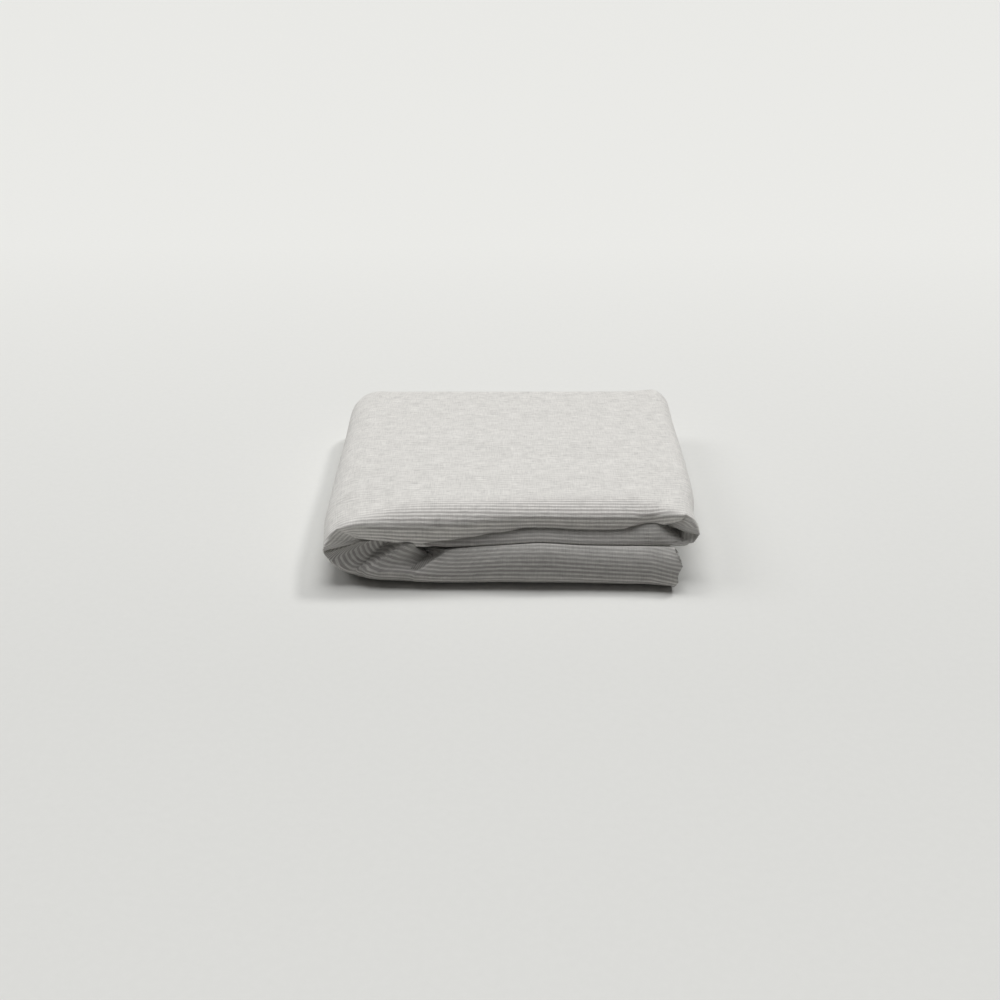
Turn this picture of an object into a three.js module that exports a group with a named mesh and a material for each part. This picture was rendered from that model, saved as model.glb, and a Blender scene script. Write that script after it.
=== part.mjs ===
import * as THREE from 'three';

// A striped linen bed sheet, 2.7 m square when it is spread out, folded into a low packet.
// Millimetres, +Z up.
// X runs along the stripes, -Y is the front, and the origin is on the floor under the middle.

// Sizes of the folded packet
const WIDTH = 342; // from the left turn to the right turn
const DEPTH = 338; // from the front roll to the back folds
const LAYER = 3.0; // one layer: four plies of linen pressed together
const PITCH = 4.18; // from one layer to the next
const LAYERS_IN_STRIP = 4;
const LAYERS = 4 * LAYERS_IN_STRIP;
const GAP = PITCH - LAYER;
const HEIGHT = LAYERS * PITCH - GAP;

// The cloth is a long strip, four layers thick, that is folded in half twice across its length.
// Its outer face is the one that shows on top of the packet and on the floor.
const STRIP_HALF = (LAYERS_IN_STRIP / 2) * PITCH - GAP / 2;
const STRIP_STEP = LAYERS_IN_STRIP * PITCH;
const LEVEL_C = STRIP_HALF;
const LEVEL_HIDDEN = LEVEL_C + STRIP_STEP;
const LEVEL_B = LEVEL_HIDDEN + STRIP_STEP;
const LEVEL_A = LEVEL_B + STRIP_STEP;
const BIG_TURN = (LEVEL_A - LEVEL_C) / 2;
const SMALL_TURN = STRIP_STEP / 2;
const LEFT_X = -WIDTH / 2 + BIG_TURN + STRIP_HALF;
const RIGHT_X = WIDTH / 2 - SMALL_TURN - STRIP_HALF;
const FREE_END_X = 151; // the strip's lower end, set back from the right turn
const HIDDEN_END_X = 147; // its other end, between B and C
const FRONT_Y = -DEPTH / 2;
const BACK_Y = DEPTH / 2;

// The stretches of the strip in order, from its free end to its hidden one.
// A pass lies flat at a level, with its outer face down (-1) or up (+1), and xs are its sections.
// A turn goes round a centre from one pass to the next, with its outer face away from the centre (+1)
// or towards it (-1).
const STRETCHES = {
  C: {
    kind: 'pass', level: LEVEL_C, outer: -1,
    xs: [FREE_END_X, 132, 100, 50, 0, -30, -48, -58, -68, -78, -88, -98, -110, -124, LEFT_X],
  },
  left: {
    kind: 'turn', x: LEFT_X, z: LEVEL_C + BIG_TURN, radius: BIG_TURN, from: -90, to: -270, outer: 1, steps: 10,
  },
  A: {
    kind: 'pass', level: LEVEL_A, outer: 1,
    xs: [LEFT_X, -128, -112, -92, -72, -60, -48, -34, -20, -4, 12, 60, 92, 106, 120, 138, RIGHT_X],
  },
  right: {
    kind: 'turn', x: RIGHT_X, z: LEVEL_A - SMALL_TURN, radius: SMALL_TURN, from: 90, to: -90, outer: 1, steps: 7,
  },
  B: {
    kind: 'pass', level: LEVEL_B, outer: -1,
    xs: [RIGHT_X, 145, 130, 100, 55, 22, 2, -22, -38, -46, -54, -64, -90, LEFT_X],
  },
  inner: {
    kind: 'turn', x: LEFT_X, z: LEVEL_B - SMALL_TURN, radius: SMALL_TURN, from: 90, to: 270, outer: -1, steps: 5,
  },
  hidden: { kind: 'pass', level: LEVEL_HIDDEN, outer: 1, xs: [LEFT_X, -100, 0, 100, HIDDEN_END_X] },
};
const STRETCH_NAMES = Object.keys(STRETCHES);

// How the strip's rolled front edge lies, a row for each section along the strip.
// at: x on a pass, or the share of a turn
// start: where the outer face begins to turn, behind the front line
// nose, noseIn: the foremost point, behind the front line and in from the outer face
// lip, lipIn: where the cloth turns under; under: the length over which it goes back in from there
const FRONT_ROLL = [
  { on: 'C', at: 151, start: 8, nose: -6, noseIn: 13, lip: 12, lipIn: 31, under: 26 },
  { on: 'C', at: 125, start: 13, nose: -2, noseIn: 15, lip: 16, lipIn: 31.5, under: 26 },
  { on: 'C', at: 60, start: 16, nose: 0, noseIn: 16, lip: 19, lipIn: 32, under: 26 },
  { on: 'C', at: -60, start: 17, nose: 1, noseIn: 16, lip: 19, lipIn: 31.5, under: 26 },
  { on: 'C', at: -105, start: 20, nose: 3, noseIn: 16, lip: 18, lipIn: 30, under: 26 },
  { on: 'left', at: 0, start: 27, nose: 7, noseIn: 17, lip: 18, lipIn: 30, under: 26 },
  { on: 'left', at: 0.3, start: 26, nose: 7, noseIn: 14, lip: 18, lipIn: 30, under: 26 },
  { on: 'left', at: 0.5, start: 18, nose: 6, noseIn: 7, lip: 20, lipIn: 30, under: 24 },
  { on: 'left', at: 0.75, start: 18, nose: 8, noseIn: 6.5, lip: 26, lipIn: 30, under: 20 },
  { on: 'A', at: -132, start: 22, nose: 12, noseIn: 14, lip: 22, lipIn: 27, under: 20 },
  { on: 'A', at: -105, start: 34, nose: 12, noseIn: 22, lip: 18, lipIn: 30, under: 20 },
  { on: 'A', at: -75, start: 42, nose: 14, noseIn: 22, lip: 20, lipIn: 30, under: 20 },
  { on: 'A', at: -52, start: 46, nose: 15, noseIn: 21, lip: 21, lipIn: 29, under: 18 },
  { on: 'A', at: -26, start: 48, nose: 18, noseIn: 18, lip: 24, lipIn: 24.5, under: 13 },
  { on: 'A', at: 12, start: 50, nose: 23, noseIn: 14.5, lip: 29, lipIn: 20.5, under: 12 },
  { on: 'A', at: 100, start: 50, nose: 24, noseIn: 14.5, lip: 30, lipIn: 20.5, under: 12 },
  { on: 'A', at: 130, start: 44, nose: 25, noseIn: 12, lip: 31, lipIn: 17.5, under: 18 },
  { on: 'right', at: 0.1, start: 28, nose: 20, noseIn: 6, lip: 34, lipIn: 13, under: 14 },
  { on: 'right', at: 0.5, start: 26, nose: 19, noseIn: 5.5, lip: 38, lipIn: 13, under: 14 },
  { on: 'right', at: 0.9, start: 28, nose: 21, noseIn: 5.5, lip: 38, lipIn: 13, under: 14 },
  { on: 'B', at: 135, start: 28, nose: 17, noseIn: 5.5, lip: 24, lipIn: 11.5, under: 30 },
  { on: 'B', at: 100, start: 26, nose: 16, noseIn: 5, lip: 21.5, lipIn: 10.5, under: 34 },
  { on: 'B', at: 30, start: 26, nose: 16, noseIn: 5, lip: 21.5, lipIn: 10.5, under: 34 },
  { on: 'B', at: -22, start: 48, nose: 37, noseIn: 6, lip: 43, lipIn: 11.5, under: 26 },
  { on: 'B', at: -50, start: 72, nose: 60, noseIn: 7, lip: 66, lipIn: 12, under: 14 },
  { on: 'inner', at: 0.5, start: 84, nose: 72, noseIn: 7, lip: 78, lipIn: 12, under: 14 },
  { on: 'hidden', at: 0, start: 84, nose: 72, noseIn: 7, lip: 78, lipIn: 12, under: 14 },
];
const ROLL_SIZES = ['start', 'nose', 'noseIn', 'lip', 'lipIn', 'under'];

// Where the packet sags or stands up, a row for each place.
// top: how far the top sinks there; middle: how far the layers half way up rise; right: how far all
// layers are moved to the right
const SAGS = [
  { x: 0, y: 200, reachX: 900, reachY: 150, top: 14, middle: 0, right: 0 },
  { x: -165, y: -150, reachX: 55, reachY: 60, top: 8, middle: 2, right: 3 },
  { x: 175, y: -165, reachX: 40, reachY: 50, top: 5, middle: 0, right: 0 },
  { x: -175, y: 60, reachX: 40, reachY: 200, top: 3, middle: 0, right: 0 },
];

// Puckers in the rolled front, a row for each valley, from one end of it to the other.
// x0, x1: its ends along the stripes; in0, in1: how far in from the outer face they lie
// depth: how far it is pressed back; reach: half its width
const PUCKERS = [
  { on: 'C', x0: -100, in0: 36, x1: -136, in1: 19, depth: 6, reach: 8 },
  { on: 'C', x0: -56, in0: 36, x1: -92, in1: 16, depth: 8, reach: 8 },
  { on: 'A', x0: 99, in0: 20, x1: 114, in1: 8, depth: 3, reach: 7 },
];

// Rounded back corners of the packet
const CORNER_LENGTH = 45;
const CORNER_IN = 4;

// Small differences between the back ends of the layers, in a slow wave along the strip
const BACK_STAGGER = 3;
const STAGGER_WAVE = 2.3; // radians of the wave for each stretch of the strip
const STAGGER_START = 0.7;
const INNER_LAYER_BACK = 6; // the layers' free ends lie this far in from the back
const CORE_LAYER_BACK = 9;

// Steps along the cloth in each part of the strip's section
const WRAP_UNDER_STEPS = 4;
const WRAP_LIP_STEPS = 3;
const WRAP_FACE_STEPS = 6;
const OUTER_LAYER_AT = [0.12, 0.24, 0.38, 0.55, 0.75, 1]; // shares of the way from the back
const OTHER_LAYER_AT = [0.12, 0.38, 0.75, 1];
const BACK_FOLD_STEPS = 5;
const CORE_FOLD_STEPS = 5;

const PUCKER_FADE = 20; // a pucker dies out over this depth
const CORE_BEHIND_START = 4; // the core fold stays this far behind the start of the roll
const TIGHTEST = 0.7; // the inside of a bend keeps this share of its radius
const CORE_HALF = PITCH / 2;
const OUTER_HALF = 1.5 * PITCH;

const linen = new THREE.MeshStandardMaterial({ color: 0xd6d4cf, roughness: 0.95, metalness: 0 });

function smoothStep(share) {
  const t = Math.min(1, Math.max(0, share));
  return t * t * (3 - 2 * t);
}

function hill(distance, reach) {
  return Math.exp(-((distance / reach) ** 2));
}

// Place along the strip as one number: the stretch's index plus the share of it that is behind
function runPlace(name, at) {
  const stretch = STRETCHES[name];
  const index = STRETCH_NAMES.indexOf(name);
  if (stretch.kind === 'turn') return index + at;
  const from = stretch.xs[0];
  const to = stretch.xs[stretch.xs.length - 1];
  return index + (at - from) / (to - from);
}

const ROLL_ROWS = FRONT_ROLL.map((row) => ({ ...row, place: runPlace(row.on, row.at) }));

// Sizes of the front roll at a place along the strip, eased between the rows of its table
function rollAt(place) {
  const last = ROLL_ROWS.length - 1;
  if (place <= ROLL_ROWS[0].place) return ROLL_ROWS[0];
  if (place >= ROLL_ROWS[last].place) return ROLL_ROWS[last];
  const next = ROLL_ROWS.findIndex((row) => row.place > place);
  const a = ROLL_ROWS[next - 1];
  const b = ROLL_ROWS[next];
  const share = smoothStep((place - a.place) / (b.place - a.place));
  const sizes = {};
  for (const size of ROLL_SIZES) sizes[size] = a[size] + (b[size] - a[size]) * share;
  return sizes;
}

// Adds the points of a flat layer from its first point, at the given shares of the way from the back
function addFlat(points, y, n, shares) {
  const from = points[points.length - 1];
  const forward = y < from.y;
  const inOrder = forward ? shares : [...shares.slice(0, -1).map((share) => 1 - share).reverse(), 1];
  for (const share of inOrder) {
    points.push({ y: from.y + (y - from.y) * share, n: from.n + (n - from.n) * share });
  }
}

// Adds a quarter of an oval that leaves its first point along the layers, or meets its last one so
function addQuarter(points, y, n, steps, alongFirst) {
  const from = points[points.length - 1];
  for (let i = 1; i <= steps; i++) {
    const angle = (i / steps) * (Math.PI / 2);
    const along = alongFirst ? Math.sin(angle) : 1 - Math.cos(angle);
    const across = alongFirst ? 1 - Math.cos(angle) : Math.sin(angle);
    points.push({ y: from.y + (y - from.y) * along, n: from.n + (n - from.n) * across });
  }
}

// How far the puckers press the roll back, at a place along the stripes and a depth in from its face
function puckerAt(on, x, inward) {
  let pressed = 0;
  for (const fold of PUCKERS) {
    if (fold.on !== on) continue;
    const along = { x: fold.x1 - fold.x0, n: fold.in1 - fold.in0 };
    const share = ((x - fold.x0) * along.x + (inward - fold.in0) * along.n) / (along.x ** 2 + along.n ** 2);
    const t = Math.min(1, Math.max(0, share));
    const away = Math.hypot(x - fold.x0 - along.x * t, inward - fold.in0 - along.n * t);
    pressed += fold.depth * hill(away, fold.reach);
  }
  return pressed;
}

// Centre line of the strip's section: y is the depth, n the height above the strip's middle,
// towards its outer face. It runs from the free end of the innermost layer round the front roll
// to the outer layer, round the back fold, and forward and back again inside.
function sectionPath(on, x, place) {
  const roll = rollAt(place);
  const stagger = BACK_STAGGER * Math.sin(STAGGER_WAVE * place + STAGGER_START);
  const faceN = OUTER_HALF + LAYER / 2;
  const back = BACK_Y - PITCH / 2 - LAYER / 2 + Math.min(0, stagger);
  const start = FRONT_Y + roll.start;
  const nose = { y: FRONT_Y + roll.nose + LAYER / 2, n: faceN - roll.noseIn };
  const lip = { y: FRONT_Y + roll.lip + LAYER / 2, n: faceN - roll.lipIn + LAYER / 2 };
  const throat = lip.y + roll.under;
  const points = [{ y: BACK_Y - INNER_LAYER_BACK - stagger, n: -OUTER_HALF }];
  addFlat(points, throat, -OUTER_HALF, OTHER_LAYER_AT);
  const under = points[points.length - 1];
  for (let i = 1; i <= WRAP_UNDER_STEPS; i++) {
    const t = i / WRAP_UNDER_STEPS;
    const y = under.y + (lip.y - under.y) * t;
    points.push({ y, n: under.n + (lip.n - under.n) * smoothStep(t) });
  }
  addQuarter(points, nose.y, nose.n, WRAP_LIP_STEPS, true);
  addQuarter(points, start, OUTER_HALF, WRAP_FACE_STEPS, false);
  for (const point of points) {
    const reached = smoothStep((throat - point.y) / PUCKER_FADE);
    point.y += reached * puckerAt(on, x, faceN - point.n);
  }
  addFlat(points, back, OUTER_HALF, OUTER_LAYER_AT);
  for (let i = 1; i <= BACK_FOLD_STEPS; i++) {
    const angle = (i / BACK_FOLD_STEPS) * Math.PI;
    const middle = OUTER_HALF - PITCH / 2;
    points.push({ y: back + (PITCH / 2) * Math.sin(angle), n: middle + (PITCH / 2) * Math.cos(angle) });
  }
  const core = Math.max(start, throat) + CORE_BEHIND_START;
  addFlat(points, core, CORE_HALF, OTHER_LAYER_AT);
  for (let i = 1; i <= CORE_FOLD_STEPS; i++) {
    const angle = (i / CORE_FOLD_STEPS) * Math.PI;
    points.push({ y: core - CORE_HALF * Math.sin(angle), n: CORE_HALF * Math.cos(angle) });
  }
  addFlat(points, BACK_Y - CORE_LAYER_BACK + stagger, -CORE_HALF, OTHER_LAYER_AT);
  return points;
}

// Radius of the circle through three points, and the side it bends to: above 0 to the left
function bendAt(before, point, after) {
  const a = { y: point.y - before.y, n: point.n - before.n };
  const b = { y: after.y - point.y, n: after.n - point.n };
  const cross = a.y * b.n - a.n * b.y;
  const chord = Math.hypot(after.y - before.y, after.n - before.n);
  const area = Math.max(Math.abs(cross) / 2, 1e-6);
  const radius = (Math.hypot(a.y, a.n) * Math.hypot(b.y, b.n) * chord) / (4 * area);
  return { radius, side: Math.sign(cross) };
}

// Both sides of the layer that follows a centre line, as one closed outline.
// Inside a tight bend the plies are pressed thinner.
function outlineOf(path) {
  const left = [];
  const right = [];
  path.forEach((point, i) => {
    const before = path[Math.max(0, i - 1)];
    const after = path[Math.min(path.length - 1, i + 1)];
    const length = Math.hypot(after.y - before.y, after.n - before.n);
    const ny = -(after.n - before.n) / length;
    const nn = (after.y - before.y) / length;
    const bend = bendAt(before, point, after);
    const inside = Math.min(LAYER / 2, TIGHTEST * bend.radius);
    const toLeft = bend.side > 0 ? inside : LAYER / 2;
    const toRight = bend.side < 0 ? inside : LAYER / 2;
    left.push({ y: point.y + ny * toLeft, n: point.n + nn * toLeft });
    right.push({ y: point.y - ny * toRight, n: point.n - nn * toRight });
  });
  return [...left, ...right.reverse()];
}

// The sections of a stretch: where the strip's middle lies, and which way its outer face looks
function framesOf(stretch) {
  if (stretch.kind === 'pass') {
    return stretch.xs.map((x) => ({ x, z: stretch.level, outX: 0, outZ: stretch.outer, at: x }));
  }
  const frames = [];
  for (let i = 0; i <= stretch.steps; i++) {
    const at = i / stretch.steps;
    const angle = THREE.MathUtils.degToRad(stretch.from + (stretch.to - stretch.from) * at);
    const awayX = Math.cos(angle);
    const awayZ = Math.sin(angle);
    frames.push({
      x: stretch.x + stretch.radius * awayX,
      z: stretch.z + stretch.radius * awayZ,
      outX: awayX * stretch.outer,
      outZ: awayZ * stretch.outer,
      at,
    });
  }
  return frames;
}

// Settles a point of the even packet into the uneven one
function settle(x, y, z) {
  const level = z / HEIGHT;
  let top = 0;
  let middle = 0;
  let right = 0;
  for (const sag of SAGS) {
    const share = hill(x - sag.x, sag.reachX) * hill(y - sag.y, sag.reachY);
    top += sag.top * share;
    middle += sag.middle * share;
    right += sag.right * share;
  }
  const rounded = CORNER_IN * smoothStep((y - BACK_Y + CORNER_LENGTH) / CORNER_LENGTH) ** 2;
  return new THREE.Vector3(
    x * (1 - rounded / (WIDTH / 2)) + right,
    y,
    z - top * level + 4 * middle * level * (1 - level),
  );
}

// Every section of the strip, in order from its free end. Neighbouring stretches share a section.
function sections() {
  const rings = [];
  for (const name of STRETCH_NAMES) {
    const frames = framesOf(STRETCHES[name]).slice(rings.length === 0 ? 0 : 1);
    for (const { x, z, outX, outZ, at } of frames) {
      const outline = outlineOf(sectionPath(name, x, runPlace(name, at)));
      rings.push(outline.map(({ y, n }) => settle(x + outX * n, y, z + outZ * n)));
    }
  }
  return rings;
}

// Joins the sections into one closed solid. Each end is capped across the thickness of its layer.
function loft(rings) {
  const count = rings[0].length;
  const positions = rings.flat().flatMap((p) => [p.x, p.y, p.z]);
  const faces = [];
  for (let r = 0; r + 1 < rings.length; r++) {
    for (let i = 0; i < count; i++) {
      const j = (i + 1) % count;
      const a = r * count + i;
      const b = r * count + j;
      const c = (r + 1) * count + j;
      const d = (r + 1) * count + i;
      faces.push(a, c, b, a, d, c);
    }
  }
  const lastRing = (rings.length - 1) * count;
  for (let i = 0; i + 1 < count / 2; i++) {
    const opposite = count - 1 - i;
    faces.push(i, i + 1, opposite, i + 1, opposite - 1, opposite);
    faces.push(lastRing + i, lastRing + opposite, lastRing + i + 1);
    faces.push(lastRing + i + 1, lastRing + opposite, lastRing + opposite - 1);
  }
  const geometry = new THREE.BufferGeometry();
  geometry.setAttribute('position', new THREE.Float32BufferAttribute(positions, 3));
  geometry.setIndex(faces);
  geometry.computeVertexNormals();
  return geometry;
}

// The origin is under the middle of the packet's box
const cloth = loft(sections());
cloth.computeBoundingBox();
const middle = cloth.boundingBox.getCenter(new THREE.Vector3());

const sheet = new THREE.Mesh(cloth, linen);
sheet.name = 'folded_sheet';
sheet.position.set(-middle.x, -middle.y, 0);

const packet = new THREE.Group();
packet.name = 'folded_bed_sheet';
packet.add(sheet);

export default packet;
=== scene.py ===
import math

import bmesh
import bpy
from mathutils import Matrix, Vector


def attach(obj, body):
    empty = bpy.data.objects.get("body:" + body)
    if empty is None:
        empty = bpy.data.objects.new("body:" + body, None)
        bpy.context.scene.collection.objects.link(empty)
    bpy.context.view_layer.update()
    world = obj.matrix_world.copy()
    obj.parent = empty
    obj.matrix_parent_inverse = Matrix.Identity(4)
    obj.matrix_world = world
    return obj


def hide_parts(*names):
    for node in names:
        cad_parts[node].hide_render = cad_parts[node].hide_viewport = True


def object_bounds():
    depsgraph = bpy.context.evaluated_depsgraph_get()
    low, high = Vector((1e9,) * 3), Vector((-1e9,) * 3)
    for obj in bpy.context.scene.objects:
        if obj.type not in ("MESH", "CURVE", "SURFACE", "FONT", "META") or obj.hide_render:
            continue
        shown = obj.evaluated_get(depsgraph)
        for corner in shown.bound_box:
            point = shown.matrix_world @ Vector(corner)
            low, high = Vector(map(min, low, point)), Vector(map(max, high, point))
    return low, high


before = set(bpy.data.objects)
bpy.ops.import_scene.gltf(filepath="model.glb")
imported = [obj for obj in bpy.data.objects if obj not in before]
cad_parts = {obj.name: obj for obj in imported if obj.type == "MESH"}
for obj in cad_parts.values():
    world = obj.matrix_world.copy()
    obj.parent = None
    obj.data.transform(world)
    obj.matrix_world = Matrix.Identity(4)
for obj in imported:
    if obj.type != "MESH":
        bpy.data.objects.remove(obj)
packed_low, packed_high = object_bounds()

# The camera
# It stands well in front of the packet, a little to its left, and looks along +Y and down on it, as in
# the photograph.
CAMERA_TILT = math.radians(27.5)
CAMERA_PLACE = (-0.0095, -1.1663, 0.6113)
SENSOR_WIDTH = 36
FOCAL_LENGTH = 46.8
camera_lens = bpy.data.cameras.new("camera")
camera_lens.sensor_width = SENSOR_WIDTH
camera_lens.lens = FOCAL_LENGTH
camera = bpy.data.objects.new("camera", camera_lens)
camera.location = CAMERA_PLACE
camera.rotation_euler = (math.pi / 2 - CAMERA_TILT, 0, 0)
bpy.context.scene.collection.objects.link(camera)
bpy.context.scene.camera = camera
bpy.context.scene.view_settings.view_transform = "Standard"

# The floor
# A wide pale painted board, almost white, with the faint mottle of a rolled coat of paint. Its colour is
# painted a shade lighter towards the back: painted light, standing in for the light that falls brighter
# there.
FLOOR_SIDE = 24.0
PAINT_COLOURS = ((0.785, 0.785, 0.76, 1), (0.815, 0.815, 0.79, 1))
MOTTLE_SCALE = 160
PAINT_RELIEF = 0.0003
NEAR_Y, FAR_Y = -0.3, 0.9  # between these two places the painted light changes from the near level to the far one
NEAR_PAINTED_LIGHT, FAR_PAINTED_LIGHT = 0.93, 1.09
floor_shape = bmesh.new()
bmesh.ops.create_grid(floor_shape, x_segments=1, y_segments=1, size=FLOOR_SIDE / 2)
floor_mesh = bpy.data.meshes.new("floor")
floor_shape.to_mesh(floor_mesh)
floor_shape.free()
floor = bpy.data.objects.new("floor", floor_mesh)
bpy.context.scene.collection.objects.link(floor)

paint = bpy.data.materials.new("floor_paint")
paint.use_nodes = True
paint_nodes = paint.node_tree.nodes
paint_links = paint.node_tree.links
paint_shader = paint_nodes["Principled BSDF"]
paint_shader.inputs["Roughness"].default_value = 0.85
paint_shader.inputs["Specular IOR Level"].default_value = 0.2
paint_place = paint_nodes.new("ShaderNodeTexCoord")
mottle = paint_nodes.new("ShaderNodeTexNoise")
mottle.inputs["Scale"].default_value = MOTTLE_SCALE
mottle.inputs["Detail"].default_value = 4
paint_tint = paint_nodes.new("ShaderNodeMix")
paint_tint.data_type = "RGBA"
paint_tint.inputs["A"].default_value = PAINT_COLOURS[0]
paint_tint.inputs["B"].default_value = PAINT_COLOURS[1]
# Painted light: the paint's colour is scaled up from the front to the back, standing in for light that is
# brighter at the back.
far_split = paint_nodes.new("ShaderNodeSeparateXYZ")
painted_light_share = paint_nodes.new("ShaderNodeMapRange")
painted_light_share.inputs["From Min"].default_value = NEAR_Y
painted_light_share.inputs["From Max"].default_value = FAR_Y
painted_light_share.inputs["To Min"].default_value = NEAR_PAINTED_LIGHT
painted_light_share.inputs["To Max"].default_value = FAR_PAINTED_LIGHT
painted_light_falloff = paint_nodes.new("ShaderNodeVectorMath")
painted_light_falloff.operation = "SCALE"
paint_bump = paint_nodes.new("ShaderNodeBump")
paint_bump.inputs["Distance"].default_value = PAINT_RELIEF
paint_bump.inputs["Strength"].default_value = 0.25
paint_links.new(paint_place.outputs["Object"], mottle.inputs["Vector"])
paint_links.new(mottle.outputs["Fac"], paint_tint.inputs["Factor"])
paint_links.new(paint_place.outputs["Object"], far_split.inputs["Vector"])
paint_links.new(far_split.outputs["Y"], painted_light_share.inputs["Value"])
paint_links.new(paint_tint.outputs["Result"], painted_light_falloff.inputs["Vector"])
paint_links.new(painted_light_share.outputs["Result"], painted_light_falloff.inputs["Scale"])
paint_links.new(painted_light_falloff.outputs["Vector"], paint_shader.inputs["Base Color"])
paint_links.new(mottle.outputs["Fac"], paint_bump.inputs["Height"])
paint_links.new(paint_bump.outputs["Normal"], paint_shader.inputs["Normal"])
floor_mesh.materials.append(paint)

# The light
# A wide soft light hangs over the set and a little behind it, with a smaller, weaker one behind it at
# the right and a faint low one at the left. The pale room gives a weak even fill.
LIGHTS = [
    # name, lean back, lean right and angle in degrees, energy
    ("soft_light", 20, 0, 46, 1.9),
    ("right_light", 30, 32, 10, 0.95),
    ("left_light", 18, -48, 30, 0.55),
]
ROOM_COLOUR = (1.0, 0.995, 0.985, 1)
ROOM_FILL = 0.05
sky = bpy.data.worlds.new("room")
sky.use_nodes = True
sky.node_tree.nodes["Background"].inputs["Color"].default_value = ROOM_COLOUR
sky.node_tree.nodes["Background"].inputs["Strength"].default_value = ROOM_FILL
bpy.context.scene.world = sky

for name, lean_back, lean_right, angle, energy in LIGHTS:
    lamp_light = bpy.data.lights.new(name, "SUN")
    lamp_light.angle = math.radians(angle)
    lamp_light.energy = energy
    lamp = bpy.data.objects.new(name, lamp_light)
    lamp.rotation_euler = (-math.radians(lean_back), math.radians(lean_right), 0)
    bpy.context.scene.collection.objects.link(lamp)

# The sheet's folds
# One linen flat sheet, 2.70 m square. It is doubled along the stripes, halved three times across
# them into a strip of sixteen plies, and the strip is then folded in half twice, as C, A, B and a
# hidden pass.
MM = 0.001
PLIES_HIGH = 64
PLIES_IN_STRIP = 16
ROLL_ROOM = 6 * MM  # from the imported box's front to the line that the front roll is measured from
STRIP_DEPTH = 338 * MM

PLY = (packed_high.z - packed_low.z) / PLIES_HIGH
STRIP = PLIES_IN_STRIP * PLY
OUTER_PLY = (PLIES_IN_STRIP - 1) / 2 * PLY
FACE = STRIP / 2
FRONT_Y = packed_low.y + ROLL_ROOM
BACK_Y = FRONT_Y + STRIP_DEPTH
LEVEL_C = packed_low.z + FACE
LEVEL_HIDDEN = LEVEL_C + STRIP
LEVEL_B = LEVEL_HIDDEN + STRIP
LEVEL_A = LEVEL_B + STRIP
BIG_TURN = 1.5 * STRIP
SMALL_TURN = 0.5 * STRIP
LEFT_X = packed_low.x + BIG_TURN + OUTER_PLY
RIGHT_X = packed_high.x - SMALL_TURN - OUTER_PLY
FREE_END_X = 150 * MM
HIDDEN_END_X = 146 * MM

# The run of the strip, from the free end that shows at the right of C to the end between B and C.
# face: which way the strip's outer face looks, -1 down or +1 up on a pass, and on a turn -1
# towards its centre or +1 away from it. upper: how many sections of the upper cloth there are up to
# each share of the stretch. lower: how many of the lower cloth, which lies inside.
RUN = {
    "C": dict(
        level=LEVEL_C, start=FREE_END_X, end=LEFT_X, face=-1,
        upper=((0.05, 10), (0.66, 50), (1, 88)), lower=14,
    ),
    "left": dict(
        centre=(LEFT_X, LEVEL_C + BIG_TURN), radius=BIG_TURN, turn=(-90, -270), face=1,
        upper=((0.47, 30), (0.56, 16), (1, 26)), lower=10,
    ),
    "A": dict(
        level=LEVEL_A, start=LEFT_X, end=RIGHT_X, face=1,
        upper=((0.8, 96), (1, 34)), lower=14,
    ),
    "right": dict(
        centre=(RIGHT_X, LEVEL_A - SMALL_TURN), radius=SMALL_TURN, turn=(90, -90), face=1,
        upper=((0.5, 18), (0.62, 10), (1, 16)), lower=8,
    ),
    "B": dict(
        level=LEVEL_B, start=RIGHT_X, end=LEFT_X, face=-1,
        upper=((0.2, 26), (1, 60)), lower=12,
    ),
    "inner": dict(
        centre=(LEFT_X, LEVEL_B - SMALL_TURN), radius=SMALL_TURN, turn=(90, 270), face=-1,
        upper=((1, 6),), lower=5,
    ),
    "hidden": dict(
        level=LEVEL_HIDDEN, start=LEFT_X, end=HIDDEN_END_X, face=1,
        upper=((1, 8),), lower=6,
    ),
}
RUN_NAMES = list(RUN)


def ease(share):
    """A share from 0 to 1 that starts and ends gently, kept within its limits."""
    share = min(1.0, max(0.0, share))
    return share * share * (3 - 2 * share)


def mix(a, b, share):
    """The value at a share of the way from a to b."""
    return a + (b - a) * share


def run_place(name, at):
    """A place along the run as one number: the stretch's index plus the share of it that is behind."""
    stretch = RUN[name]
    if "turn" in stretch:
        return RUN_NAMES.index(name) + at
    return RUN_NAMES.index(name) + (at * MM - stretch["start"]) / (stretch["end"] - stretch["start"])


def strip_at(place):
    """The middle of the strip at a place: x, z and the direction of its outer face."""
    name = RUN_NAMES[min(int(place), len(RUN_NAMES) - 1)]
    share = place - RUN_NAMES.index(name)
    stretch = RUN[name]
    if "turn" not in stretch:
        return mix(stretch["start"], stretch["end"], share), stretch["level"], 0.0, float(stretch["face"])
    angle = math.radians(mix(*stretch["turn"], share))
    away_x, away_z = math.cos(angle), math.sin(angle)
    x = stretch["centre"][0] + stretch["radius"] * away_x
    z = stretch["centre"][1] + stretch["radius"] * away_z
    return x, z, away_x * stretch["face"], away_z * stretch["face"]


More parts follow.
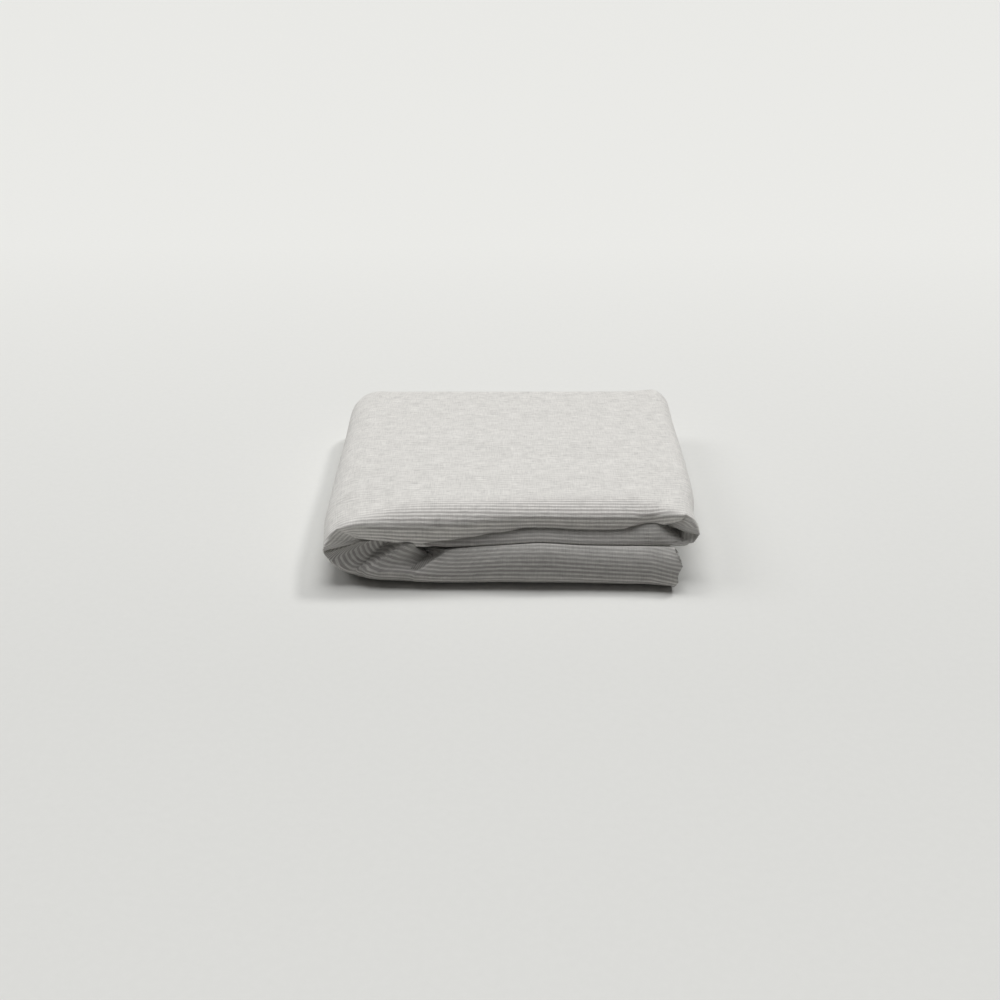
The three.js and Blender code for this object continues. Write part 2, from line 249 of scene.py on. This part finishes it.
# How the rolled front edge lies, a row for each place along the run, in millimetres.
# start: where the outer face begins to turn, behind the front line
# nose, nose_in: the foremost line, behind the front line and in from the outer face
# lip, lip_in: where the cloth turns under; under: the length over which it goes back in from there
# aside, lift: how far the lip lies to the right of its even place, and above it
# flat: from 0, a face that bulges between nose and lip, to 1, a flat one
FRONT_COLUMNS = ("start", "nose", "nose_in", "lip", "lip_in", "under", "aside", "lift", "flat")
FRONT_ROLL = [
    # on, at, start, nose, nose_in, lip, lip_in, under, aside, lift, flat
    ("C", 151, (8, -6, 12, 11, 36, 26, 0, 0, 0.5)),
    ("C", 125, (13, -2, 13, 14, 35.5, 26, 0, 0, 0.5)),
    ("C", 60, (16, 0, 13, 15, 35.5, 25, 0, 0, 0.5)),
    ("C", 20, (16, 0, 13, 15, 35.3, 25, 0, 0, 0.5)),
    ("C", -10, (17, 1, 14, 15, 35.5, 25, 4, 0, 0.5)),
    ("C", -40, (17, 1, 14, 15, 36, 25, 14, 0, 0.6)),
    ("C", -70, (17, 1, 14, 15, 35.3, 26, 26, 0, 0.7)),
    ("C", -87.5, (18, 1.5, 14, 16, 33, 26, 29.5, 0, 0.9)),
    ("C", -89, (18, 2.2, 15, 28, 20.5, 44, 17.5, 0, 1)),
    ("C", -94, (18, 2.6, 15.5, 28, 21, 44, 21, 0, 1)),
    ("C", -105, (19, 3, 16, 26, 25.5, 44, 26, 0, 1)),
    ("C", -115, (20, 3, 16.5, 22, 31, 40, 30, 0, 1)),
    ("C", -120, (21, 3, 16.5, 20, 37, 30, 33, 0, 1)),
    ("C", -126, (23, 4, 17, 18, 38, 22, 34, 0, 1)),
    ("C", -133, (25, 5.5, 17, 18, 38, 20, 34, 0, 1)),
    ("C", -134.5, (26, 7.5, 17.5, 34, 39, 18, 34, 0, 1)),
    ("left", 0.06, (38, 9, 16, 31, 30, 20, 32, 8, 1)),
    ("left", 0.15, (42, 8.5, 15, 26, 30, 20, 28, 8, 1)),
    ("left", 0.3, (42, 9, 12, 23, 30, 20, 21, 8.5, 1)),
    ("left", 0.42, (34, 11, 7, 20, 30, 20, 13, 9, 1)),
    ("left", 0.498, (20, 13, 1.5, 19.5, 30, 20, 6, 9, 1)),
    ("left", 0.504, (22, 14.5, 2, 50, 30, 16, 5.5, 9, 1)),
    ("left", 0.523, (22, 14.5, 2, 50, 30, 16, 5.5, 9, 1)),
    ("left", 0.529, (19, 12, 0.8, 18, 30, 16, 5.5, 9, 1)),
    ("left", 0.66, (22, 17, 3.6, 19.5, 30, 16, 5, 8, 1)),
    ("left", 0.8, (23, 19, 1, 21, 30, 14, 4.3, 7, 1)),
    ("left", 0.84, (24, 18, 3, 20, 28, 14, 3.4, 5, 0.9)),
    ("A", -136, (26, 18, 7, 21, 22.5, 14, 0, 0, 0.8)),
    ("A", -120, (32, 17, 11, 21, 25.4, 14, 0, 0, 0.6)),
    ("A", -99, (41, 18, 14, 21, 29.4, 16, 0, 0, 0.5)),
    ("A", -84, (43, 18, 14, 22, 32.6, 16, 0, 0, 0.5)),
    ("A", -75, (44, 19, 14, 23, 32.6, 15, 0, 0, 0.5)),
    ("A", -59, (45, 20, 13, 25, 29.9, 14, 0, 0, 0.5)),
    ("A", -31, (46, 23, 12, 27, 29, 13, 0, 0, 0.5)),
    ("A", -25, (46, 24, 11, 27.5, 27, 12, 0, 0, 0.5)),
    ("A", -19, (47, 25, 11, 28, 24.5, 12, 0, 0, 0.5)),
    ("A", -8, (48, 26, 11, 28, 24.5, 12, 0, 0, 0.5)),
    ("A", 12, (50, 28, 10.5, 29.5, 19.2, 12, 0, 0, 0.5)),
    ("A", 26, (51, 28, 10.5, 29.5, 20.2, 12, 0, 0, 0.5)),
    ("A", 48, (53, 28, 10.5, 29.5, 20.2, 12, 0, 0, 0.5)),
    ("A", 86, (53, 28, 10, 29.5, 21.3, 12, 0, 0, 0.5)),
    ("A", 102, (54, 28, 10, 29.5, 20.2, 12, -3, 0, 0.5)),
    ("A", 110, (54, 28.3, 9.5, 29.8, 18.8, 12, -5, 0, 0.6)),
    ("A", 118, (52, 30.5, 9, 31.5, 17, 12, -7, 0, 0.6)),
    ("A", 128, (47, 31, 8, 32, 15, 14, -6, 0, 0.6)),
    ("A", 135, (42, 29, 7, 30, 12.6, 14, -2, 0, 0.6)),
    ("A", 139, (38, 28, 6, 29, 14.5, 14, 0, 0, 0.6)),
    ("A", 146, (33, 27, 5, 29, 12.5, 14, 0, 0, 0.7)),
    ("A", 152, (30, 27, 4, 29, 9.8, 14, 0, 0, 0.8)),
    ("right", 0.05, (28, 26, 3, 27.5, 7.5, 14, 0, 0, 0.9)),
    ("right", 0.08, (28, 30, 4.2, 35, 14, 14, -13, 0, 1)),
    ("right", 0.12, (28, 27, 4, 31, 14, 14, -13, 0, 1)),
    ("right", 0.3, (27, 24.5, 4.6, 30, 14, 14, -14, 1, 1)),
    ("right", 0.46, (26, 22, 3.2, 29, 14, 14, -15, 2, 1)),
    ("right", 0.55, (24, 20, 0.8, 28, 14, 20, -15, 2.7, 1)),
    ("right", 0.57, (24, 22, 1, 28, 9, 45, -1, -2.5, 1)),
    ("right", 0.68, (24, 20, 2.5, 27, 9, 45, -4, -4, 1)),
    ("right", 0.81, (23, 18, 2.2, 25, 8, 45, -4, -5, 1)),
    ("right", 0.9, (24, 18, 2, 27, 8, 45, -3, -1, 0.8)),
    ("B", 152, (26, 18, 3, 28, 6.5, 45, 0, 0, 0.6)),
    ("B", 144, (27, 18, 4, 29, 11, 44, 0, 0, 0.6)),
    ("B", 133, (27, 18, 4, 29, 18.5, 36, 0, 0, 0.6)),
    ("B", 123, (27, 18, 4, 30, 17.5, 32, 0, 0, 0.6)),
    ("B", 108, (27, 18, 4, 31, 14, 32, 0, 0, 0.6)),
    ("B", 86, (27, 18, 4, 31, 12.5, 32, 0, 0, 0.6)),
    ("B", 12, (27, 18, 4, 31, 12, 32, 0, 0, 0.6)),
    ("B", -40, (28, 19, 4, 31, 12, 32, 0, 0, 0.5)),
    ("B", -78, (29, 20, 4, 31, 11, 32, 0, 0, 0.5)),
    ("B", -92, (36, 27, 5, 35, 11, 30, 0, 0, 0.3)),
    ("B", -106, (60, 48, 6, 54, 11, 22, 0, 0, 0)),
    ("inner", 0.5, (72, 60, 7, 66, 12, 14, 0, 0, 0)),
    ("hidden", -130, (72, 60, 7, 66, 12, 14, 0, 0, 0)),
]
ROLL_ROUNDING = 0.005  # of a stretch: the length over which the table's straight steps are rounded
TURN_ROUNDING = 0.004  # the same on the turns, where the creases are sharper
STRIPE_ROUNDING = 0.008  # the same for the stripes
FAN_ROUNDING = 0.05  # the same for the change from slanted rows to fanned ones
STRIPES_CLOSER = 0.12  # the share by which the stripes lie closer on the lower passes
INSIDE_REACH = 0.04  # of a stretch: how far along the cloth inside keeps clear of the roll's hollows
LOWER_REACH = 0.1  # the same for the lower one of the two cloths
roll_rows = [(run_place(on, at), numbers) for on, at, numbers in FRONT_ROLL]


def roll_row(place):
    """The front roll's numbers at a place, straight between the table's rows."""
    if place <= roll_rows[0][0]:
        return roll_rows[0][1]
    if place >= roll_rows[-1][0]:
        return roll_rows[-1][1]
    after = next(i for i, row in enumerate(roll_rows) if row[0] > place)
    (from_place, from_numbers), (to_place, to_numbers) = roll_rows[after - 1], roll_rows[after]
    share = (place - from_place) / (to_place - from_place)
    return [mix(a, b, share) for a, b in zip(from_numbers, to_numbers)]


def roll_at(place, rounding=None):
    """The front roll's sizes at a place, in metres: the table's, rounded over a short length."""
    if rounding is None:
        name = RUN_NAMES[min(int(place), len(RUN_NAMES) - 1)]
        rounding = TURN_ROUNDING if "turn" in RUN[name] else ROLL_ROUNDING
    near = [roll_row(place + rounding * step / 2) for step in (-2, -1, 0, 1, 2)]
    return {name: sum(numbers) / len(near) * MM for name, numbers in zip(FRONT_COLUMNS, zip(*near))}


def roll_inside(place, roll, reach=INSIDE_REACH):
    """The roll that the passes inside follow: as far back as the outer one anywhere near."""
    near = [roll_row(place + reach * step / 4) for step in range(-4, 5)]
    nose = max(numbers[FRONT_COLUMNS.index("nose")] for numbers in near) * MM
    lip = max(numbers[FRONT_COLUMNS.index("lip")] for numbers in near) * MM
    return {**roll, "nose": nose, "lip": max(lip, nose + MM), "start": max(roll["start"], nose + 2 * MM)}


# Steps of the cloth round the front roll, along the outer face and in the passes inside
FLAT_UNDER_STEPS = 5
UNDER_STEPS = 7
LIP_STEPS = 22
FACE_STEPS = 20
TOP_STEPS = 62
BACK_FOLD_STEPS = 7
SMALL_FOLD_STEPS = 3
CLOSER_TO_ROLL = 0.6  # below 1, the steps under the strip lie closer towards the roll
TOP_NEAR = 60 * MM  # the outer face has finer steps this near to the roll
TOP_NEAR_STEPS = 20
FREE_EDGE_IN = (6 * MM, 9 * MM)  # how far in from the back the two free edges lie
LOWER_FOLD_IN = 3 * MM
BACK_FOLD_ROOM = 4 * PLY  # the outermost back fold takes this much of the strip's depth
ROLL_FILL = 0.3  # the innermost fold stays this share of the roll's height behind its nose
TIP_BEHIND_FACE = 5 * MM  # and at least this far behind the middle of the roll's face

# Which points of the outermost pass the passes inside follow
INNER_COLUMNS = (0, 4, 7, 9, 11, 15, 20, 27, 34, 39, 44, 49, 54, 63, 74, 90, 115)


def quarter(points, y, n, steps, along_first, flat):
    """Adds a quarter of an oval that leaves its first point along the layers, or meets its last so."""
    from_y, from_n = points[-1]
    for step in range(1, steps + 1):
        share = step / steps
        angle = share * math.pi / 2
        along = math.sin(angle) if along_first else 1 - math.cos(angle)
        across = 1 - math.cos(angle) if along_first else math.sin(angle)
        points.append((mix(from_y, y, mix(along, share, flat)), mix(from_n, n, mix(across, share, flat))))


def wrap_of(roll):
    """The outermost pass round the front roll, as (y, n), from its free edge to the back fold."""
    outer = OUTER_PLY - PLY / 2
    face = outer + PLY
    back = BACK_Y - BACK_FOLD_ROOM
    lip_y, lip_n = FRONT_Y + roll["lip"], face - roll["lip_in"]
    throat = lip_y + roll["under"]
    points = [(BACK_Y - FREE_EDGE_IN[1], -outer)]
    for step in range(1, FLAT_UNDER_STEPS + 1):
        share = (step / FLAT_UNDER_STEPS) ** CLOSER_TO_ROLL
        points.append((mix(points[0][0], throat, share), -outer))
    for step in range(1, UNDER_STEPS + 1):
        share = step / UNDER_STEPS
        points.append((mix(throat, lip_y, share), mix(-outer, lip_n, ease(share))))
    quarter(points, FRONT_Y + roll["nose"], face - roll["nose_in"], LIP_STEPS, True, roll["flat"] / MM)
    quarter(points, FRONT_Y + roll["start"], outer, FACE_STEPS, False, 0)
    start = points[-1][0]
    for step in range(1, TOP_STEPS + 1):
        if step <= TOP_NEAR_STEPS:
            y = start + TOP_NEAR * step / TOP_NEAR_STEPS
        else:
            y = mix(start + TOP_NEAR, back, (step - TOP_NEAR_STEPS) / (TOP_STEPS - TOP_NEAR_STEPS))
        points.append((y, outer))
    return points, throat


def nested(wrap, throat, roll, depth):
    """The pass that lies depth passes inside the outermost one, with fewer steps."""
    outer = OUTER_PLY - PLY / 2
    filled = roll["nose"] + ROLL_FILL * roll["lip_in"]
    tip_y = FRONT_Y + max(filled, (roll["nose"] + roll["lip"]) / 2 + TIP_BEHIND_FACE)
    tip_n = outer - (roll["nose_in"] + roll["lip_in"]) / 2
    share = depth * 2 * PLY / outer
    points = []
    for column in INNER_COLUMNS:
        y, n = wrap[column]
        spine_y = max(y, tip_y)
        spine_n = tip_n * ease((throat - spine_y) / max(throat - tip_y, PLY))
        points.append((mix(y, spine_y, share), mix(n, spine_n, share)))
    lower_end = BACK_Y - (FREE_EDGE_IN[0] if depth == 1 else LOWER_FOLD_IN)
    points[0] = (lower_end, points[0][1])
    return points


def back_fold(points, n, steps):
    """Adds a half round that turns the cloth at the back to another layer."""
    from_y, from_n = points[-1]
    radius = abs(n - from_n) / 2
    for step in range(1, steps):
        angle = step / steps * math.pi
        points.append((from_y + radius * math.sin(angle), mix(from_n, n, (1 - math.cos(angle)) / 2)))


def section(roll, inside):
    """The whole width of the doubled cloth in the strip's section, as one path of (y, n)."""
    wrap = wrap_of(roll)[0]
    core, throat = wrap_of(inside)
    second, third, fourth = (nested(core, throat, inside, depth) for depth in (1, 2, 3))
    path = list(wrap)
    back_fold(path, fourth[-1][1], BACK_FOLD_STEPS)
    path += fourth[::-1]
    back_fold(path, third[0][1], SMALL_FOLD_STEPS)
    path += third
    back_fold(path, second[-1][1], SMALL_FOLD_STEPS)
    path += second[::-1]
    return path, len(wrap) - 1


def path_normals(path):
    """The direction across the cloth at each point of a path, outwards on the outermost pass."""
    normals = []
    for i in range(len(path)):
        y0, n0 = path[max(0, i - 1)]
        y1, n1 = path[min(len(path) - 1, i + 1)]
        length = math.hypot(y1 - y0, n1 - n0) or 1.0
        normals.append((-(n1 - n0) / length, (y1 - y0) / length))
    return normals


# Where the packet sags or is pushed, in millimetres.
# top: how far the top sinks; middle: how far the layers half way up rise; right: how far all move
SAGS = [
    # x, y, reach_x, reach_y, top, middle, right
    (0, 203, 900, 150, 14, 0, 0),
    (-165, -147, 55, 60, 8, 2, 3),
    (175, -162, 40, 50, 5, 0, 0),
    (-175, 63, 40, 200, 3, 0, 0),
    (-52, -150, 34, 30, 0, -2.6, 0),
    (26, -150, 28, 30, 0, 2.7, 0),
    (171, 20, 45, 130, 0, 0, 3),
    (171, -120, 34, 24, 0, 0, -4),
    (162, -150, 26, 40, 0, 2, 0),
    (-171, 0, 40, 100, 0, 0, -2.5),
    (-171, -105, 40, 35, 0, 0, -3),
    (-166, 150, 22, 75, -4.5, 0, -3),
    (166, 160, 18, 65, -3, 0, 3.5),
]
FRONT_FADE = 34 * MM  # the stripes fade away over this length, from the roll to the flat top
FADE_ON_ROLL = 0.55  # the share of that length that lies on the roll itself
CORNER_LENGTH = 26 * MM  # the back corners are rounded over this length
CORNER_IN = 4 * MM
FREE_END_REACH = 9 * MM  # how far in from the free end its outline moves the cloth
FREE_END_DEPTH = 200 * MM  # the outline comes in over this length from the back
LOW_CHANGE = 0.2  # of a turn: the length over which the passes change to the low ones, with their painted shade and closer stripes

# Soft creases of the top, each a line from one point to another, in millimetres
CREASES = [
    # from x, y, to x, y, reach, height
    (-125, 22, -10, 20, 9, 0.9),
    (-30, 12, 120, 18, 10, 0.7),
    (-60, -22, 90, -26, 13, -0.9),
    (-40, -70, 110, -62, 15, 0.8),
    (-156, -98, -132, -80, 6, 0.9),
    (-162, -78, -120, -66, 8, -0.7),
    (128, -40, 150, -52, 7, 0.9),
    (96, -22, 118, -18, 7, -0.7),
    (-100, -50, -60, -40, 9, 0.7),
    (-70, 70, 60, 78, 14, -0.8),
    (20, 110, 120, 100, 12, 0.7),
    (-130, 95, -60, 110, 12, 0.8),
]

# The outline of C's free end: how far it stands out at each height, in millimetres
FREE_END_OUTLINE = (
    (0, -4.6), (3, -3.4), (5, -2.8), (8, -1.8), (10.5, -0.6), (13, -1), (16, -1.2), (18.5, -0.6),
    (21, 0.8), (24.5, 3.2), (27, 1), (30, -1), (34, -2.6), (38, -3.2),
)


def free_end_out(z):
    """How far the free end's outline stands out at a height."""
    height = z / MM
    for (low, low_out), (high, high_out) in zip(FREE_END_OUTLINE, FREE_END_OUTLINE[1:]):
        if low <= height <= high:
            return mix(low_out, high_out, (height - low) / (high - low)) * MM
    return 0.0


def hill(distance, reach):
    """1 at no distance, falling smoothly to almost 0 at twice the reach."""
    return math.exp(-((distance / reach) ** 2))


def creased(x, y):
    """How far the creases lift the top at a point."""
    lifted = 0.0
    for from_x, from_y, to_x, to_y, reach, height in CREASES:
        along_x, along_y = (to_x - from_x) * MM, (to_y - from_y) * MM
        off_x, off_y = x - from_x * MM, y - from_y * MM
        share = (off_x * along_x + off_y * along_y) / (along_x**2 + along_y**2)
        share = min(1.0, max(0.0, share))
        lifted += height * MM * hill(math.hypot(off_x - along_x * share, off_y - along_y * share), reach * MM)
    return lifted


def settle(x, y, z):
    """Settles a point of the even packet into the uneven one."""
    height = packed_high.z - packed_low.z
    level = (z - packed_low.z) / height
    top = middle = right = 0.0
    for at_x, at_y, reach_x, reach_y, sink, rise, push in SAGS:
        share = hill(x - at_x * MM, reach_x * MM) * hill(y - at_y * MM, reach_y * MM)
        top += sink * MM * share
        middle += rise * MM * share
        right += push * MM * share
    rounded = CORNER_IN * ease((y - BACK_Y + CORNER_LENGTH) / CORNER_LENGTH) ** 2
    half = (packed_high.x - packed_low.x) / 2
    near_end = ease((x - FREE_END_X) / FREE_END_REACH + 1) * ease((BACK_Y - y) / FREE_END_DEPTH)
    right += free_end_out(z) * near_end
    return (
        x * (1 - rounded / half) + right,
        y,
        z - top * level + 4 * middle * level * (1 - level) + creased(x, y) * ease(level * 3 - 2),
    )


def slant_at(roll, y, n):
    """How much of the lip's move aside a point of the section shares: 0 at the nose, 1 at the lip."""
    face = OUTER_PLY + PLY / 2
    lip_y = FRONT_Y + roll["lip"]
    reached = ease((lip_y + roll["under"] - y) / roll["under"])
    nose_n, lip_n = face - roll["nose_in"], face - roll["lip_in"]
    return reached * min(1.0, max(0.0, (nose_n - n) / (nose_n - lip_n)))


def low_share(place):
    """1 on the passes below the top one, which lie in its shade and are painted darker for it, and 0 on the
    top one.
    """
    on_left, on_right = run_place("left", 0.5), run_place("right", 0.5)
    past_left = ease((place - on_left) / LOW_CHANGE + 0.5)
    past_right = ease((place - on_right) / LOW_CHANGE + 0.5)
    return 1 - past_left + past_right


def turn_share(place):
    """1 on a turn, where the roll's rows fan out, and 0 on a pass, where pleats only slant them."""
    near = [place + FAN_ROUNDING * step / 4 for step in range(-4, 5)]
    names = [RUN_NAMES[max(0, min(int(at), len(RUN_NAMES) - 1))] for at in near]
    return sum("turn" in RUN[name] for name in names) / len(names)


# The cloth is a grid, with a row for each place along the run and a column for each step of its
# section. The upper cloth's rows come first, and the lower cloth's lead back to the free end.
MEASURED_BEFORE_BACK = 40  # the length along the stripes is measured this many columns before the fold
row_places = []
for name, stretch in RUN.items():
    done = 0.0
    for until, count in stretch["upper"]:
        for step in range(count):
            row_places.append((RUN_NAMES.index(name) + mix(done, until, step / count), 1.0))
        done = until
row_places.append((len(RUN_NAMES) - 1e-6, 0.0))
for name in reversed(RUN_NAMES):
    count = RUN[name]["lower"]
    for step in range(count, 0, -1):
        row_places.append((RUN_NAMES.index(name) + (step - 1) / count, -1.0))

column_count = len(section(roll_at(0.0), roll_at(0.0))[0])
cloth_shape = bmesh.new()
bmesh.ops.create_grid(
    cloth_shape,
    x_segments=column_count - 1,
    y_segments=len(row_places) - 1,
    size=0.5,
)
cloth_uv = cloth_shape.loops.layers.uv.new("cloth")
cloth_front = cloth_shape.verts.layers.float.new("front_share")
# The share of painted shade at each point: 1 on the passes below the top one, 0 on the top one.
cloth_shade_mask = cloth_shape.verts.layers.float.new("low_share")
cloth_shape.verts.ensure_lookup_table()

sheet_rows = []
flat_rows = []
front_rows = []
shade_mask_rows = []
flat_v = 0.0
for place, side in row_places:
    roll = roll_at(place)
    if side < 0:
        roll = roll_inside(place, roll, LOWER_REACH)
    path, back_column = section(roll, roll_inside(place, roll))
    normals = path_normals(path)
    x, z, out_x, out_z = strip_at(place)
    row = []
    for (y, n), (normal_y, normal_n) in zip(path, normals):
        y += normal_y * side * PLY / 2
        n += normal_n * side * PLY / 2
        slant = slant_at(roll, y, n)
        row.append(settle(x + out_x * n + roll["aside"] * slant, y, z + out_z * n + roll["lift"] * slant))
    if sheet_rows:
        measured = back_column - MEASURED_BEFORE_BACK
        flat_v += (Vector(row[measured]) - Vector(sheet_rows[-1][measured])).length
    even_roll = roll_at(place, STRIPE_ROUNDING)
    even_path = section(even_roll, even_roll)[0]
    fan = math.hypot(even_roll["aside"], even_roll["lift"]) * turn_share(place)
    even_places = [(y, n, fan * slant_at(even_roll, y, n)) for y, n in even_path]
    lengths = [0.0]
    for before, after in zip(even_places, even_places[1:]):
        lengths.append(lengths[-1] + math.dist(before, after))
    sheet_rows.append(row)
    top_start = FRONT_Y + roll["start"] - FADE_ON_ROLL * FRONT_FADE
    front_rows.append([1 - ease((y - top_start) / FRONT_FADE) for y, n in path])
    shade_mask_rows.append(low_share(place))
    closer = 1 + STRIPES_CLOSER * low_share(place)
    flat_rows.append([((length - lengths[back_column]) * closer, flat_v) for length in lengths])

cloth_place = {}
for vertex in cloth_shape.verts:
    column = round((vertex.co.x + 0.5) * (column_count - 1))
    row = round((vertex.co.y + 0.5) * (len(row_places) - 1))
    cloth_place[vertex] = flat_rows[row][column]
    vertex[cloth_front] = front_rows[row][column]
    vertex[cloth_shade_mask] = shade_mask_rows[row]
    vertex.co = sheet_rows[row][column]
for cloth_face in cloth_shape.faces:
    cloth_face.smooth = True
    for loop in cloth_face.loops:
        loop[cloth_uv].uv = cloth_place[loop.vert]
cloth_mesh = bpy.data.meshes.new("sheet")
cloth_shape.to_mesh(cloth_mesh)
cloth_shape.free()
sheet = bpy.data.objects.new("sheet", cloth_mesh)
bpy.context.scene.collection.objects.link(sheet)

# The linen
# Washed linen, about 170 g/m2, woven with pale yarn and a grey-mauve pinstripe. The yarns are
# uneven, with thicker slubs both ways, and the surface has a soft fuzz.
STRIPE_PITCH = 4.1 * MM
STRIPE_EDGE = (0.15, 0.31)  # of a pitch from the pale line's middle: where the dark band begins, and is full
PALE_YARN = (0.775, 0.76, 0.725, 1)
DARK_YARN = (0.455, 0.43, 0.415, 1)
TOP_STRIPES = 0.12  # what is left of the stripes on the flat top, where the two yarns blend
PAINTED_LOW_SHADE = 0.24  # painted shade: how much darker the passes below the top one are painted, for the top one's shade on them
linen = bpy.data.materials.new("linen")
linen.use_nodes = True
linen.use_backface_culling = False
nodes = linen.node_tree.nodes
links = linen.node_tree.links
shader = nodes["Principled BSDF"]
shader.inputs["Roughness"].default_value = 0.9
shader.inputs["Specular IOR Level"].default_value = 0.25
shader.inputs["Sheen Weight"].default_value = 0.25
shader.inputs["Sheen Roughness"].default_value = 0.6


def math_node(operation, *values):
    """A Math node's output, from numbers or other nodes' outputs."""
    node = nodes.new("ShaderNodeMath")
    node.operation = operation
    for slot, value in enumerate(values):
        if isinstance(value, (int, float)):
            node.inputs[slot].default_value = value
        else:
            links.new(value, node.inputs[slot])
    return node.outputs["Value"]


flat_place = nodes.new("ShaderNodeUVMap")
flat_place.uv_map = "cloth"
flat_split = nodes.new("ShaderNodeSeparateXYZ")
links.new(flat_place.outputs["UV"], flat_split.inputs["Vector"])


def yarns(across, along, seed):
    """Streaks of uneven yarn: noise that is across wide and along long, both ways in metres."""
    stretch = nodes.new("ShaderNodeMapping")
    stretch.inputs["Scale"].default_value = (1 / across, 1 / along, 1)
    stretch.inputs["Location"].default_value = (seed, seed * 0.7, 0)
    links.new(flat_place.outputs["UV"], stretch.inputs["Vector"])
    streaks = nodes.new("ShaderNodeTexNoise")
    streaks.noise_dimensions = "2D"
    streaks.inputs["Scale"].default_value = 1
    streaks.inputs["Detail"].default_value = 2
    links.new(stretch.outputs["Vector"], streaks.inputs["Vector"])
    return streaks.outputs["Fac"]


warp = yarns(1.1 * MM, 12 * MM, 3.1)
weft = yarns(14 * MM, 0.9 * MM, 7.7)
cloudy = yarns(10 * MM, 15 * MM, 9.4)
slub = nodes.new("ShaderNodeMapRange")
slub.interpolation_type = "SMOOTHSTEP"
slub.inputs["From Min"].default_value = 0.58
slub.inputs["From Max"].default_value = 0.78
links.new(yarns(1.3 * MM, 8 * MM, 12.8), slub.inputs["Value"])
STRIPE_WOBBLE = 0.14  # of a pitch
wobble = math_node("MULTIPLY", math_node("SUBTRACT", yarns(3 * MM, 9 * MM, 1.3), 0.5), STRIPE_WOBBLE)
turns = math_node("ADD", math_node("DIVIDE", flat_split.outputs["X"], STRIPE_PITCH), wobble)
from_stripe = math_node("ABSOLUTE", math_node("SUBTRACT", math_node("FRACT", turns), 0.5))
stripe = nodes.new("ShaderNodeMapRange")
stripe.interpolation_type = "SMOOTHSTEP"
stripe.inputs["From Min"].default_value = STRIPE_EDGE[0]
stripe.inputs["From Max"].default_value = STRIPE_EDGE[1]
links.new(from_stripe, stripe.inputs["Value"])

# How much each kind of yarn and unevenness lightens or darkens the cloth
WARP_TONE = 0.44
WEFT_TONE = 0.32
CLOUD_TONE = 0.20
SLUB_TONE = -0.16
crossed_tone = math_node(
    "ADD",
    math_node("MULTIPLY", math_node("SUBTRACT", warp, 0.5), WARP_TONE),
    math_node("MULTIPLY", math_node("SUBTRACT", weft, 0.5), WEFT_TONE),
)
uneven_tone = math_node(
    "ADD",
    math_node("MULTIPLY", math_node("SUBTRACT", cloudy, 0.5), CLOUD_TONE),
    math_node("MULTIPLY", slub.outputs["Result"], SLUB_TONE),
)
yarn_tone = math_node("ADD", crossed_tone, uneven_tone)
colour = nodes.new("ShaderNodeMix")
colour.data_type = "RGBA"
colour.inputs["A"].default_value = PALE_YARN
colour.inputs["B"].default_value = DARK_YARN
front_share = nodes.new("ShaderNodeAttribute")
front_share.attribute_name = "front_share"
# The stripes' dark yarn is uneven too: its strength is the least one plus a change along it
STRIPE_CHANGE = 0.6
STRIPE_LEAST = 0.65
stripe_change = math_node("MULTIPLY_ADD", yarns(3.5 * MM, 140 * MM, 5.2), STRIPE_CHANGE, STRIPE_LEAST)
front_strength = math_node("MULTIPLY_ADD", front_share.outputs["Fac"], 1 - TOP_STRIPES, TOP_STRIPES)
stripe_strength = math_node("MULTIPLY", front_strength, stripe_change)
links.new(math_node("MULTIPLY", stripe.outputs["Result"], stripe_strength), colour.inputs["Factor"])
toned = nodes.new("ShaderNodeVectorMath")
toned.operation = "SCALE"
links.new(colour.outputs["Result"], toned.inputs["Vector"])
# Painted shade: the passes below the top one are painted darker by the low_share mask, standing in for the
# shade that the top pass casts over them.
painted_shade_mask = nodes.new("ShaderNodeAttribute")
painted_shade_mask.attribute_name = "low_share"
painted_shade_factor = math_node("MULTIPLY_ADD", painted_shade_mask.outputs["Fac"], -PAINTED_LOW_SHADE, 1.0)
links.new(math_node("MULTIPLY", math_node("ADD", yarn_tone, 1.0), painted_shade_factor), toned.inputs["Scale"])
links.new(toned.outputs["Vector"], shader.inputs["Base Color"])

WEAVE_RELIEF = 0.4 * MM
WEAVE_STRENGTH = 0.6
weave_bump = nodes.new("ShaderNodeBump")
weave_bump.inputs["Distance"].default_value = WEAVE_RELIEF
weave_bump.inputs["Strength"].default_value = WEAVE_STRENGTH
links.new(math_node("ADD", warp, weft), weave_bump.inputs["Height"])
links.new(weave_bump.outputs["Normal"], shader.inputs["Normal"])
cloth_mesh.materials.append(linen)

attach(sheet, "root")
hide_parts("folded_sheet")
